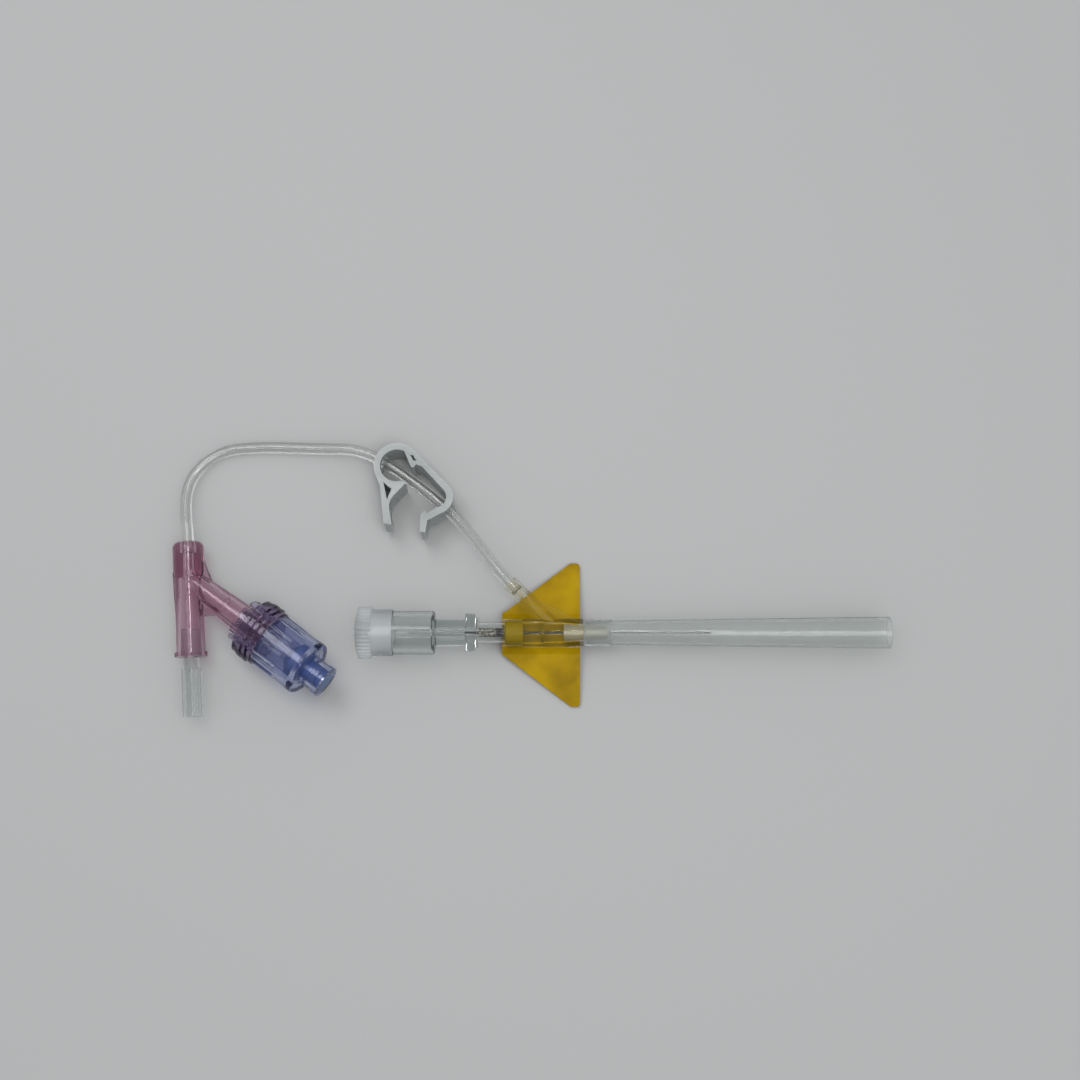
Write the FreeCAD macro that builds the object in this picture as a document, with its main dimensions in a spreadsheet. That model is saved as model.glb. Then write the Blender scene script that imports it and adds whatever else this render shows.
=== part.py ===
# A closed safety IV cannula with its extension line, pinch clamp, Y-connector and needle-free connector.
# Millimetres and degrees. +X runs along the cannula to the needle tip, +Z is up, and z = 0 is the
# surface that the set lies on. The origin is the middle of that surface under the whole set.
import FreeCAD, Part
import math
import os
import Sketcher
from types import SimpleNamespace

SIZES = {
    # The cannula's line, seen from above
    "axis_side": -10.55,
    "hub_rear": -5.63,
    "needle_gauge_radius": 0.25,
    "needle_bore_radius": 0.13,
    "needle_clearance": 0.04,
    "press_gap": 0.02,
    "stop_gap": 0.05,
    # Hub, with the seals in it and the arm that the line leaves by
    "hub_length": 16.2,
    "hub_radius": 2.9,
    "hub_edge": 0.3,
    "septum_radius": 2.6,
    "septum_length": 3.6,
    "septum_recess": 0.4,
    "septum_edge": 0.5,
    "seal_radius": 2.05,
    "seal_length": 0.6,
    "seal_place": 7.7,
    "chamber_radius": 1.9,
    "arm_angle": 45.0,
    "arm_root": 11.44,
    "arm_length": 14.4,
    "arm_radius": 1.65,
    "arm_bore_radius": 0.6,
    "arm_web_length": 4.6,
    "arm_web_width": 1.2,
    # Tapered nose that grips the catheter
    "nose_length": 8.75,
    "nose_reach": 4.85,
    "nose_rear_radius": 1.8,
    "nose_tip_radius": 1.2,
    "nose_funnel_radius": 1.0,
    # Catheter and needle
    "catheter_radius": 0.36,
    "catheter_grip": 5.0,
    "catheter_reach": 19.7,
    "catheter_taper": 1.5,
    "catheter_tip_radius": 0.31,
    "needle_lead": 1.4,
    "needle_bevel": 1.25,
    # Wings
    "wing_chord": 15.9,
    "wing_overhang": 0.25,
    "wing_rear_half": 4.6,
    "wing_half_span": 14.7,
    "wing_tip_chord": 1.9,
    "wing_corner": 0.7,
    "wing_tip_height": 0.8,
    "wing_root_half": 4.1,
    "wing_root_drop": 2.75,
    "saddle_half": 3.4,
    "saddle_wall": 1.0,
    "saddle_drop": 1.95,
    "saddle_lip": 0.7,
    # Safety guard and its clip
    "guard_flange_radius": 3.9,
    "guard_flange_length": 2.0,
    "guard_step_radius": 3.0,
    "guard_step_length": 0.65,
    "guard_tube_radius": 2.15,
    "guard_wall": 0.4,
    "guard_entry": 1.6,
    "guard_length": 9.6,
    "guard_edge": 0.2,
    "clip_strip": 0.15,
    "clip_width": 1.6,
    "clip_height": 1.3,
    "clip_length": 5.4,
    "clip_bend": 3.3,
    "clip_lip": 0.8,
    # Flash barrel, needle holder, vent and grip cap
    "neck_radius": 2.7,
    "neck_length": 6.05,
    "barrel_radius": 4.45,
    "barrel_length": 7.85,
    "barrel_shoulder": 0.75,
    "barrel_wall": 0.9,
    "spigot_radius": 3.85,
    "spigot_length": 3.2,
    "holder_radius": 0.78,
    "holder_length": 13.95,
    "holder_grip": 11.4,
    "filter_radius": 1.03,
    "filter_length": 4.2,
    "filter_seat": 0.7,
    "cap_radius": 5.25,
    "cap_head_length": 2.65,
    "cap_dome": 0.95,
    "cap_nub_radius": 0.7,
    "cap_nub_length": 0.3,
    "skirt_radius": 4.7,
    "skirt_length": 4.2,
    "cap_grooves": 36,
    "cap_groove_depth": 0.28,
    # Needle cover
    "cover_length": 62.0,
    "collar_length": 5.65,
    "collar_radius": 2.7,
    "collar_edge": 0.7,
    "cover_near_radius": 2.52,
    "cover_far_radius": 3.25,
    "cover_wall": 0.65,
    # Extension line
    "tube_radius": 1.2,
    "socket_depth": 2.4,
    "tube_first_run": 5.2,
    "tube_last_run": 4.4,
    # Y-connector: a straight leg, a branch and the tube socket on the leg's far end
    "port_x": -69.8,
    "port_y": 0.73,
    "port_height": 4.0,
    "port_yaw": 3.3,
    "port_roll": 10.3,
    "branch_angle": 50.5,
    "port_radius": 2.9,
    "port_top_radius": 3.15,
    "port_top_length": 7.45,
    "port_top_edge": 1.3,
    "leg_length": 16.1,
    "branch_length": 21.6,
    "branch_radius": 2.95,
    "branch_root_radius": 2.15,
    "port_bore_radius": 1.6,
    "port_passage_radius": 0.8,
    "luer_mouth_radius": 2.15,
    "luer_taper": 0.03,
    "luer_depth": 11.8,
    "port_rim_radius": 3.35,
    "port_rim_length": 0.9,
    "lug_reach": 3.9,
    "lug_width": 3.0,
    "web_width": 1.3,
    "web_drop": 8.0,
    "web_cap_width": 2.6,
    "web_cap_height": 1.3,
    "rib_reach": 0.1,
    "rib_drop": 7.2,
    "branch_rib_rise": 3.4,
    "branch_rib_reach": 2.15,
    "branch_rib_length": 4.7,
    # Plug in the straight leg
    "luer_clearance": 0.04,
    "plug_nose_length": 5.6,
    "plug_neck_radius": 1.6,
    "plug_neck_length": 2.3,
    "plug_handle_length": 9.8,
    "plug_handle_width": 4.0,
    "plug_rib_width": 1.1,
    "plug_core_radius": 1.25,
    # Needle-free connector, measured from the tip of its male luer
    "male_luer_length": 7.2,
    "male_luer_bore_radius": 0.8,
    "lip_length": 1.9,
    "lip_radius": 4.7,
    "lip_notches": 8,
    "lip_notch_width": 1.3,
    "lip_notch_depth": 1.1,
    "collar_bore_radius": 4.2,
    "grip_radius": 6.4,
    "grip_valley_drop": 0.35,
    "grip_end_drop": 0.3,
    "grip_length": 5.0,
    "grip_ridge": 0.75,
    "base_floor": 1.0,
    "post_radius": 0.8,
    "post_length": 4.6,
    "housing_radius": 5.75,
    "housing_length": 8.65,
    "housing_step_length": 3.2,
    "housing_cavity_radius": 4.6,
    "flute_count": 12,
    "flute_radius": 0.75,
    "ring_radius": 5.85,
    "ring_length": 1.9,
    "access_neck_radius": 3.15,
    "access_neck_length": 4.05,
    "access_rim_radius": 3.35,
    "access_rim_length": 1.1,
    "access_lug_length": 1.5,
    "access_bore_radius": 2.2,
    "piston_shoulder_radius": 3.6,
    "piston_shoulder_length": 2.0,
    "piston_foot_length": 1.5,
    "piston_wall": 0.9,
    "piston_travel": 3.0,
    "piston_clearance": 0.1,
    # Pinch clamp, measured from the middle of its ring
    "clamp_x": -27.4,
    "clamp_y": 22.78,
    "clamp_turn": -42.2,
    "clamp_tilt": 6.0,
    "clamp_depth": 7.0,
    "clamp_wall": 1.35,
    "ring_bore_radius": 3.4,
    "ring_outer_radius": 4.7,
    "arm_reach": 14.02,
    "arm_underside": 3.3,
    "bend_radius": 3.6,
    "jaw_u": 3.3,
    "upper_jaw_v": 1.7,
    "lower_jaw_v": -1.45,
    "jaw_width": 0.6,
    "arm_drop": 0.7,
    "upper_jaw_u": 2.42,
    "bend_end_u": 13.63,
    "bend_end_v": -1.18,
    "latch_u": 12.55,
    "latch_v": -4.2,
    "barb_u": 10.75,
    "barb_height": 1.35,
    "latch_end_u": 13.94,
    "latch_end_v": -6.4,
    "lower_bend_u": 5.67,
    "lower_bend_v": -8.04,
    "lower_bend_radius": 3.5,
    "lower_end_u": 7.79,
    "lower_end_v": -9.75,
    "tube_hole_radius": 2.1,
    "left_hole_v": -0.95,
    "right_hole_v": 0.75,
}

# The line's way between its two sockets, as points chosen by hand from above, with their heights
LINE_POINTS = [
    (-12.75, 10.35, 5.0),
    (-18.95, 16.85, 4.6),
    (-28.7, 24.1, 3.85),
    (-35.7, 27.8, 2.7),
    (-43.0, 28.0, 1.6),
    (-50.0, 28.3, 1.25),
    (-56.9, 28.4, 1.2),
    (-63.4, 27.8, 1.2),
    (-68.1, 25.1, 1.35),
    (-71.0, 20.6, 1.85),
    (-71.2, 14.9, 2.9),
]
ARC_SHARE = 0.45
MARGIN = 1.0

X_AXIS = FreeCAD.Vector(1, 0, 0)
Y_AXIS = FreeCAD.Vector(0, 1, 0)
Z_AXIS = FreeCAD.Vector(0, 0, 1)


class Size:
    """A number with the sheet expression it comes from, so one formula both draws and binds a shape."""

    def __init__(self, number, text):
        self.number = float(number)
        self.text = text

    def joined(self, other, sign, number):
        return Size(number, f"({self.text} {sign} {as_size(other).text})")

    def __add__(self, other):
        return self.joined(other, "+", self.number + float(other))

    def __sub__(self, other):
        return self.joined(other, "-", self.number - float(other))

    def __mul__(self, other):
        return self.joined(other, "*", self.number * float(other))

    def __truediv__(self, other):
        return self.joined(other, "/", self.number / float(other))

    def __radd__(self, other):
        return as_size(other) + self

    def __rsub__(self, other):
        return as_size(other) - self

    def __rmul__(self, other):
        return as_size(other) * self

    def __neg__(self):
        return Size(-self.number, f"(-1 * {self.text})")

    def __float__(self):
        return self.number


def as_size(value):
    return value if isinstance(value, Size) else Size(value, repr(float(value)))


def root(value):
    return Size(math.sqrt(float(value)), f"sqrt({value.text})")


def sine(angle):
    return Size(math.sin(math.radians(float(angle))), f"sin({angle.text})")


def cosine(angle):
    return Size(math.cos(math.radians(float(angle))), f"cos({angle.text})")


def make_sheet(document):
    sheet = document.addObject("Spreadsheet::Sheet", "Sizes")
    for row, (name, value) in enumerate(SIZES.items(), start=1):
        sheet.set(f"A{row}", name)
        sheet.set(f"B{row}", str(value))
        sheet.setAlias(f"B{row}", name)
    document.recompute()
    return sheet


doc = FreeCAD.newDocument("iv_cannula")
sheet = make_sheet(doc)
s = SimpleNamespace(**{name: Size(sheet.get(name), f"Sizes.{name}") for name in SIZES})


def bind(item, **sizes):
    """Give an object's properties their sizes, as numbers and as expressions over the sheet."""
    for name, size in sizes.items():
        setattr(item, name, float(size))
        item.setExpression(name, as_size(size).text)
    return item


def arc_centre(start, end, radius):
    """Centre of the shorter arc from start to end that turns left for a positive radius."""
    chord = end - start
    half = chord.Length / 2
    rise = math.sqrt(max(radius * radius - half * half, 0))
    left = FreeCAD.Vector(-chord.y, chord.x, 0).normalize()
    return (start + end) / 2 + left * math.copysign(rise, radius)


def draw(sketch, points):
    """Close a loop through the points and hold each to its sizes.

    A point is (x, y), or (x, y, radius) where an arc starts: a positive radius turns left.
    """
    spots = [FreeCAD.Vector(float(p[0]), float(p[1]), 0) for p in points]
    ends = []
    bound = []
    for i, point in enumerate(points):
        start = spots[i]
        end = spots[(i + 1) % len(points)]
        if len(point) == 2:
            sketch.addGeometry(Part.LineSegment(start, end), False)
            ends.append((1, 2))
            continue
        radius = float(point[2])
        centre = arc_centre(start, end, radius)
        first, last = (start, end) if radius > 0 else (end, start)
        angles = [math.atan2(v.y - centre.y, v.x - centre.x) for v in (first, last)]
        circle = Part.Circle(centre, Z_AXIS, abs(radius))
        sketch.addGeometry(Part.ArcOfCircle(circle, angles[0], angles[1]), False)
        ends.append((1, 2) if radius > 0 else (2, 1))
        size = as_size(point[2]) if radius > 0 else -as_size(point[2])
        bound.append((Sketcher.Constraint("Radius", i, abs(radius)), size))
    for i, point in enumerate(points):
        after = (i + 1) % len(points)
        bound.append((Sketcher.Constraint("Coincident", i, ends[i][1], after, ends[after][0]), None))
        for kind, axis, value in (("DistanceX", -2, point[0]), ("DistanceY", -1, point[1])):
            if float(value) == 0:
                bound.append((Sketcher.Constraint("PointOnObject", i, ends[i][0], axis), None))
            else:
                bound.append((Sketcher.Constraint(kind, -1, 1, i, ends[i][0], float(value)), value))
    indices = sketch.addConstraint([constraint for constraint, _ in bound])
    for index, (_, value) in zip(indices, bound):
        if isinstance(value, Size):
            sketch.setExpression(f"Constraints[{index}]", value.text)
    return sketch


def plane(body, role):
    return next(item for item in body.Origin.OriginFeatures if item.Role == role)


def body_sketch(body, name, role, points=(), offset=None):
    """A sketch on one of the body's origin planes, moved off it along its normal."""
    sketch = body.newObject("Sketcher::SketchObject", name)
    sketch.AttachmentSupport = [(plane(body, role), "")]
    sketch.MapMode = "FlatFace"
    if offset is not None:
        sketch.AttachmentOffset = FreeCAD.Placement(Z_AXIS * float(offset), FreeCAD.Rotation())
        sketch.setExpression("AttachmentOffset.Base.z", as_size(offset).text)
    return draw(sketch, points) if points else sketch


def circle_sketch(body, name, role, centre, radius, offset=None):
    sketch = body_sketch(body, name, role, offset=offset)
    spot = FreeCAD.Vector(float(centre[0]), float(centre[1]), 0)
    sketch.addGeometry(Part.Circle(spot, Z_AXIS, float(radius)), False)
    held = [("Radius", as_size(radius), (0, float(radius)))]
    for kind, axis, value in (("DistanceX", -2, centre[0]), ("DistanceY", -1, centre[1])):
        if float(value) == 0:
            sketch.addConstraint(Sketcher.Constraint("PointOnObject", 0, 3, axis))
        else:
            held.append((kind, as_size(value), (-1, 1, 0, 3, float(value))))
    for kind, value, where in held:
        index = sketch.addConstraint(Sketcher.Constraint(kind, *where))
        sketch.setExpression(f"Constraints[{index}]", value.text)
    return sketch


def turned_body(label, points, place=None):
    """A body turned about its own X axis from a half outline of (along, radius) points."""
    body = doc.addObject("PartDesign::Body", label)
    body.Label = label
    sketch = body_sketch(body, f"{label}_outline", "XY_Plane", points)
    turn = body.newObject("PartDesign::Revolution", f"{label}_turn")
    turn.Profile = sketch
    turn.ReferenceAxis = (sketch, ["H_Axis"])
    turn.Angle = 360
    body.Tip = turn
    if place is not None:
        body.Placement = place
    return body


def cut(body, name, sketch, length=None, reverse=False):
    """Pocket a sketch, through everything both ways when no length is given."""
    pocket = body.newObject("PartDesign::Pocket", name)
    pocket.Profile = sketch
    if length is None:
        pocket.Type = "ThroughAll"
        pocket.Midplane = True
    else:
        pocket.Type = "Length"
        bind(pocket, Length=length)
        pocket.Reversed = reverse
    body.Tip = pocket
    return pocket


def around(body, name, feature, count):
    """Repeat a feature round the body's X axis."""
    pattern = body.newObject("PartDesign::PolarPattern", name)
    pattern.Originals = [feature]
    pattern.Axis = (plane(body, "X_Axis"), [""])
    pattern.Angle = 360
    pattern.Occurrences = int(float(count))
    pattern.setExpression("Occurrences", count.text)
    body.Tip = pattern
    return pattern


def free_sketch(name, points, rotation=None):
    sketch = draw(doc.addObject("Sketcher::SketchObject", name), points)
    if rotation is not None:
        sketch.Placement = FreeCAD.Placement(FreeCAD.Vector(), rotation)
    return sketch


def turned(name, points, start=FreeCAD.Vector(), direction=X_AXIS):
    """A turned solid whose axis starts at a point and runs in a direction."""
    solid = doc.addObject("Part::Revolution", name)
    solid.Source = free_sketch(f"{name}_outline", points)
    solid.Axis = X_AXIS
    solid.Base = FreeCAD.Vector()
    solid.Angle = 360
    solid.Solid = True
    solid.Placement = FreeCAD.Placement(start, FreeCAD.Rotation(X_AXIS, direction))
    return solid


def cylinder(name, radius, length, start=FreeCAD.Vector(), direction=X_AXIS):
    solid = bind(doc.addObject("Part::Cylinder", name), Radius=radius, Height=length)
    solid.Placement = FreeCAD.Placement(start, FreeCAD.Rotation(Z_AXIS, direction))
    return solid


def plate(name, points, thickness, direction=Z_AXIS, rotation=None):
    """A flat outline given a thickness, half of it to each side."""
    solid = doc.addObject("Part::Extrusion", name)
    solid.Base = free_sketch(f"{name}_outline", points, rotation)
    solid.DirMode = "Custom"
    solid.Dir = direction
    solid.Symmetric = True
    solid.Solid = True
    return bind(solid, LengthFwd=thickness)


def fused(name, solids):
    whole = doc.addObject("Part::MultiFuse", name)
    whole.Shapes = solids
    whole.Refine = True
    return whole


def moulding(label, solids, bores, place):
    """Solids fused to one moulding, with their bores cut through it afterwards."""
    whole = doc.addObject("Part::Cut", label)
    whole.Base = fused(f"{label}_body", solids)
    whole.Tool = fused(f"{label}_bores", bores)
    whole.Refine = True
    whole.Label = label
    whole.Placement = place
    return whole


# Places along the cannula, each from the piece that it seats on
axis_height = float(s.cap_radius)
hub_front = s.hub_rear + s.hub_length
nose_rear = hub_front + s.nose_reach - s.nose_length
septum_rear = s.hub_rear + s.septum_recess
guard_rear = septum_rear + s.guard_entry - s.guard_length
barrel_front = guard_rear - s.stop_gap
barrel_rear = barrel_front - s.neck_length - s.barrel_shoulder - s.barrel_length - s.spigot_length
skirt_front = barrel_rear + s.spigot_length
cap_face = skirt_front - s.skirt_length
needle_hole = s.needle_gauge_radius + s.needle_clearance
catheter_bore = needle_hole
catheter_tip = hub_front + s.nose_reach + s.catheter_reach
holder_front = barrel_front - s.press_gap
needle_tip = catheter_tip + s.needle_lead
needle_rear = holder_front - s.holder_grip


def on_axis(x):
    """A place on the cannula's axis."""
    spot = FreeCAD.Vector(float(x), float(s.axis_side), axis_height)
    return FreeCAD.Placement(spot, FreeCAD.Rotation())


def nose_radius(along):
    """The nose's outer radius at a distance from its rear end."""
    return s.nose_rear_radius - (s.nose_rear_radius - s.nose_tip_radius) * along / s.nose_length


def make_grip_cap():
    nub_end = s.cap_nub_length
    head_rear = nub_end + s.cap_dome
    face = head_rear + s.cap_head_length
    end = face + s.skirt_length
    bore = s.spigot_radius + s.press_gap
    seat = s.filter_radius + s.press_gap
    points = [
        (0, 0),
        (0, s.cap_nub_radius),
        (nub_end, s.cap_nub_radius),
        (nub_end + s.cap_dome * 0.35, s.cap_radius * 0.65),
        (head_rear, s.cap_radius),
        (face, s.cap_radius),
        (face, s.skirt_radius),
        (end, s.skirt_radius),
        (end, bore),
        (face, bore),
        (face, seat),
        (face - s.filter_seat, seat),
        (face - s.filter_seat, 0),
    ]
    body = turned_body("grip_cap", points, on_axis(cap_face - face))
    groove_points = [
        (s.cap_radius - s.cap_groove_depth, 0),
        (s.cap_radius + s.cap_groove_depth, s.cap_groove_depth * 2),
        (s.cap_radius + s.cap_groove_depth, -s.cap_groove_depth * 2),
    ]
    groove = body_sketch(body, "groove_outline", "YZ_Plane", groove_points)
    first = cut(body, "groove", groove, face, reverse=True)
    around(body, "grooves", first, s.cap_grooves)
    return body


def make_flash_filter():
    rear = cap_face - s.filter_seat + s.press_gap
    start = FreeCAD.Vector(float(rear), float(s.axis_side), axis_height)
    solid = cylinder("flash_filter", s.filter_radius, s.filter_length, start)
    solid.Label = "flash_filter"
    return solid


def make_flash_barrel():
    barrel_end = s.spigot_length + s.barrel_length
    shoulder_end = barrel_end + s.barrel_shoulder
    end = shoulder_end + s.neck_length
    holder = s.holder_radius + s.press_gap
    cavity = s.spigot_radius - s.barrel_wall * 0.5
    points = [
        (0, cavity),
        (0, s.spigot_radius),
        (s.spigot_length, s.spigot_radius),
        (s.spigot_length, s.barrel_radius),
        (barrel_end, s.barrel_radius, -s.barrel_shoulder),
        (shoulder_end, s.barrel_radius - s.barrel_shoulder),
        (shoulder_end, s.neck_radius),
        (end, s.neck_radius),
        (end, holder),
        (barrel_end, holder),
        (barrel_end, cavity),
    ]
    return turned_body("flash_barrel", points, on_axis(barrel_rear))


def make_needle_holder():
    bore = s.needle_gauge_radius + s.press_gap
    points = [
        (0, bore),
        (0, s.holder_radius),
        (s.holder_length, s.holder_radius),
        (s.holder_length, bore),
    ]
    return turned_body("needle_holder", points, on_axis(holder_front - s.holder_length))


def make_needle():
    length = needle_tip - needle_rear
    radius = s.needle_gauge_radius
    points = [
        (0, s.needle_bore_radius),
        (0, radius),
        (length, radius),
        (length, s.needle_bore_radius),
    ]
    body = turned_body("needle", points, on_axis(needle_rear))
    beyond = length + s.needle_bevel / 2
    bevel = [
        (length - s.needle_bevel * 1.5, radius * 2),
        (beyond, -radius * 2),
        (beyond, radius * 2),
    ]
    cut(body, "bevel", body_sketch(body, "bevel_outline", "XZ_Plane", bevel))
    return body


def make_catheter_tube():
    length = s.catheter_grip + s.catheter_reach
    points = [
        (0, catheter_bore),
        (0, s.catheter_radius),
        (length - s.catheter_taper, s.catheter_radius),
        (length, s.catheter_tip_radius),
        (length, catheter_bore),
    ]
    return turned_body("catheter_tube", points, on_axis(catheter_tip - length))


def make_nose_sleeve():
    grip_start = s.nose_length - s.catheter_grip
    bore = s.catheter_radius + s.press_gap
    points = [
        (0, s.nose_funnel_radius),
        (0, s.nose_rear_radius),
        (s.nose_length, s.nose_tip_radius),
        (s.nose_length, bore),
        (grip_start, bore),
    ]
    return turned_body("nose_sleeve", points, on_axis(nose_rear))


def make_septum():
    pocket = s.guard_tube_radius + s.needle_clearance
    points = [
        (s.guard_entry + s.press_gap, needle_hole),
        (s.guard_entry + s.press_gap, pocket),
        (0, pocket),
        (s.septum_edge * 0.5, s.septum_radius),
        (s.septum_length, s.septum_radius),
        (s.septum_length, needle_hole),
    ]
    return turned_body("septum", points, on_axis(septum_rear))


def make_seal_disc():
    points = [
        (0, needle_hole),
        (0, s.seal_radius),
        (s.seal_length, s.seal_radius),
        (s.seal_length, needle_hole),
    ]
    return turned_body("seal_disc", points, on_axis(s.hub_rear + s.seal_place))


def make_guard_housing():
    bore = s.guard_tube_radius - s.guard_wall
    step_end = s.guard_flange_length + s.guard_step_length
    hole = s.needle_gauge_radius + s.clip_strip
    edge = s.guard_edge
    points = [
        (0, hole),
        (0, s.guard_flange_radius - edge),
        (edge, s.guard_flange_radius),
        (s.guard_flange_length - edge, s.guard_flange_radius),
        (s.guard_flange_length, s.guard_flange_radius - edge),
        (s.guard_flange_length, s.guard_step_radius),
        (step_end, s.guard_step_radius),
        (step_end, s.guard_tube_radius),
        (s.guard_length, s.guard_tube_radius),
        (s.guard_length, bore),
        (step_end, bore),
        (step_end, hole),
    ]
    return turned_body("guard_housing", points, on_axis(guard_rear))


def make_safety_clip():
    """A steel strip folded to a base plate and two arms that rest beside the needle."""
    half = float(s.clip_height)
    strip = float(s.clip_strip)
    near = float(s.needle_gauge_radius) + strip * 1.5
    bend = float(s.clip_bend)
    length = float(s.clip_length)
    lip = float(s.clip_lip)
    upper = [(0, 0), (0, half), (bend, half * 0.9), (length - lip, near), (length, near + lip * 0.6)]
    spots = [(x, -z) for x, z in reversed(upper[1:])] + upper
    wire = Part.makePolygon([FreeCAD.Vector(x, 0, z) for x, z in spots])
    face = wire.makeOffset2D(strip / 2, 2, True, True)
    strip_solid = face.extrude(Y_AXIS * float(s.clip_width))
    strip_solid.translate(Y_AXIS * float(s.clip_width) / -2)
    hole_radius = float(s.needle_gauge_radius) + strip
    hole = Part.makeCylinder(hole_radius, strip * 4, FreeCAD.Vector(-strip * 2, 0, 0), X_AXIS)
    clip = doc.addObject("Part::Feature", "safety_clip")
    clip.Label = "safety_clip"
    clip.Shape = strip_solid.cut(hole).Solids[0]
    seat = s.guard_flange_length + s.guard_step_length + s.clip_strip + s.press_gap
    clip.Placement = on_axis(guard_rear + seat)
    return clip


def make_needle_cover():
    mouth = hub_front + s.stop_gap
    on_nose = s.stop_gap - s.nose_reach + s.nose_length
    bore = nose_radius(on_nose) + s.needle_clearance
    near_bore = s.cover_near_radius - s.cover_wall
    points = [
        (0, bore),
        (0, s.collar_radius - s.collar_edge, -s.collar_edge),
        (s.collar_edge, s.collar_radius),
        (s.collar_length, s.collar_radius),
        (s.collar_length, s.cover_near_radius),
        (s.cover_length, s.cover_far_radius),
        (s.cover_length, s.cover_far_radius - s.cover_wall),
        (s.collar_length, near_bore),
        (s.collar_length, bore),
    ]
    return turned_body("needle_cover", points, on_axis(mouth))


def arm_direction():
    angle = math.radians(float(s.arm_angle))
    return FreeCAD.Vector(-math.cos(angle), math.sin(angle), 0)


def make_cannula_hub():
    arm = arm_direction()
    arm_start = FreeCAD.Vector(float(s.arm_root), 0, 0)
    edge = s.hub_edge
    seat_end = s.septum_recess + s.septum_length
    seal_end = s.seal_place + s.seal_length
    nose_in = s.nose_length - s.nose_reach
    nose_seat = s.hub_length - nose_in
    outer = [
        (0, 0),
        (0, s.hub_radius),
        (s.hub_length - edge, s.hub_radius, -edge),
        (s.hub_length, s.hub_radius - edge),
        (s.hub_length, 0),
    ]
    gap = s.press_gap
    inner = [
        (0, 0),
        (0, s.septum_radius + gap),
        (seat_end, s.septum_radius + gap),
        (seat_end, s.seal_radius + gap),
        (seal_end, s.seal_radius + gap),
        (seal_end, s.chamber_radius),
        (nose_seat, s.chamber_radius),
        (nose_seat, s.nose_rear_radius + gap),
        (s.hub_length, nose_radius(nose_in) + gap),
        (s.hub_length, 0),
    ]
    side = s.hub_radius * 0.9
    web_top = side + s.arm_web_length
    lean = cosine(s.arm_angle) / sine(s.arm_angle)
    web = [
        (s.arm_root - side * lean, side),
        (s.hub_length - edge * 2, side),
        (s.arm_root + s.arm_radius - web_top * lean, web_top),
        (s.arm_root - web_top * lean, web_top),
    ]
    solids = [
        turned("hub_outer", outer),
        cylinder("hub_arm", s.arm_radius, s.arm_length, arm_start, arm),
        plate("hub_web", web, s.arm_web_width),
    ]
    mouth = arm_start + arm * float(s.arm_length)
    socket_start = mouth - arm * float(s.socket_depth)
    bores = [
        turned("hub_inner", inner),
        cylinder("hub_arm_bore", s.arm_bore_radius, s.arm_length, arm_start, arm),
        cylinder("hub_socket", s.tube_radius + s.press_gap, s.socket_depth, socket_start, arm),
    ]
    return moulding("cannula_hub", solids, bores, on_axis(s.hub_rear))


def make_wings():
    """One soft moulding: its cross section run along the hub, kept inside its outline from above."""
    seat = s.hub_radius + s.press_gap
    cup = root(seat * seat - s.saddle_drop * s.saddle_drop)
    bottom = s.hub_radius + s.saddle_wall
    floor = s.cap_radius
    tip_top = floor - s.wing_tip_height
    half_section = [
        (cup, -s.saddle_drop),
        (cup + s.saddle_lip, -s.saddle_drop),
        (s.wing_root_half, -s.wing_root_drop),
        (s.wing_half_span, -tip_top),
        (s.wing_half_span, -floor),
        (s.saddle_half, -bottom),
    ]
    section = half_section + [(-y, z) for y, z in reversed(half_section)]
    section[-1] = (-cup, -s.saddle_drop, seat)
    corner = s.wing_corner
    sweep_start = s.wing_chord - s.wing_tip_chord
    half_plan = [
        (s.wing_chord, s.wing_half_span - corner, corner),
        (s.wing_chord - corner, s.wing_half_span),
        (sweep_start, s.wing_half_span),
        (corner, s.wing_rear_half, corner),
        (0, s.wing_rear_half - corner),
    ]
    lower_plan = [
        (0, corner - s.wing_rear_half, corner),
        (corner, -s.wing_rear_half),
        (sweep_start, -s.wing_half_span),
        (s.wing_chord - corner, -s.wing_half_span, corner),
        (s.wing_chord, corner - s.wing_half_span),
    ]
    to_yz = FreeCAD.Rotation(FreeCAD.Vector(1, 1, 1), 120)
    wings = doc.addObject("Part::Common", "wings")
    run = plate("wing_section", section, s.wing_chord * 2, X_AXIS, to_yz)
    plan = plate("wing_plan", half_plan + lower_plan, s.cap_radius * 4)
    wings.Base = run
    wings.Tool = plan
    wings.Label = "wings"
    wings.Placement = on_axis(s.hub_rear - s.wing_overhang)
    return wings


def leg_direction():
    return -Y_AXIS


def branch_direction():
    angle = math.radians(float(s.branch_angle))
    return FreeCAD.Vector(math.sin(angle), -math.cos(angle), 0)


def port_place():
    """Place of the Y-connector: its branch rolled up about the leg until its end clears the floor."""
    yaw = FreeCAD.Rotation(Z_AXIS, float(s.port_yaw))
    roll = FreeCAD.Rotation(Y_AXIS, -float(s.port_roll))
    spot = FreeCAD.Vector(float(s.port_x), float(s.port_y), float(s.port_height))
    return FreeCAD.Placement(spot, yaw.multiply(roll))


def port_outline(length, root_radius, radius):
    """Half outline of a luer leg: a cone out of the junction, a sleeve and the rim that its lugs stand on."""
    rim = length - s.port_rim_length
    return [
        (0, 0),
        (0, root_radius),
        (length * 0.6, radius),
        (rim, radius),
        (rim, s.port_rim_radius),
        (length, s.port_rim_radius),
        (length, 0),
    ]


def luer_bore(length):
    """Half outline of a leg's bore: the six per cent luer taper, then the narrow passage."""
    taper_start = length - s.luer_depth
    inner = s.luer_mouth_radius - s.luer_taper * s.luer_depth
    return [
        (0, 0),
        (0, s.port_bore_radius),
        (taper_start, s.port_bore_radius),
        (taper_start, inner),
        (length, s.luer_mouth_radius),
        (length, 0),
    ]


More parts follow.
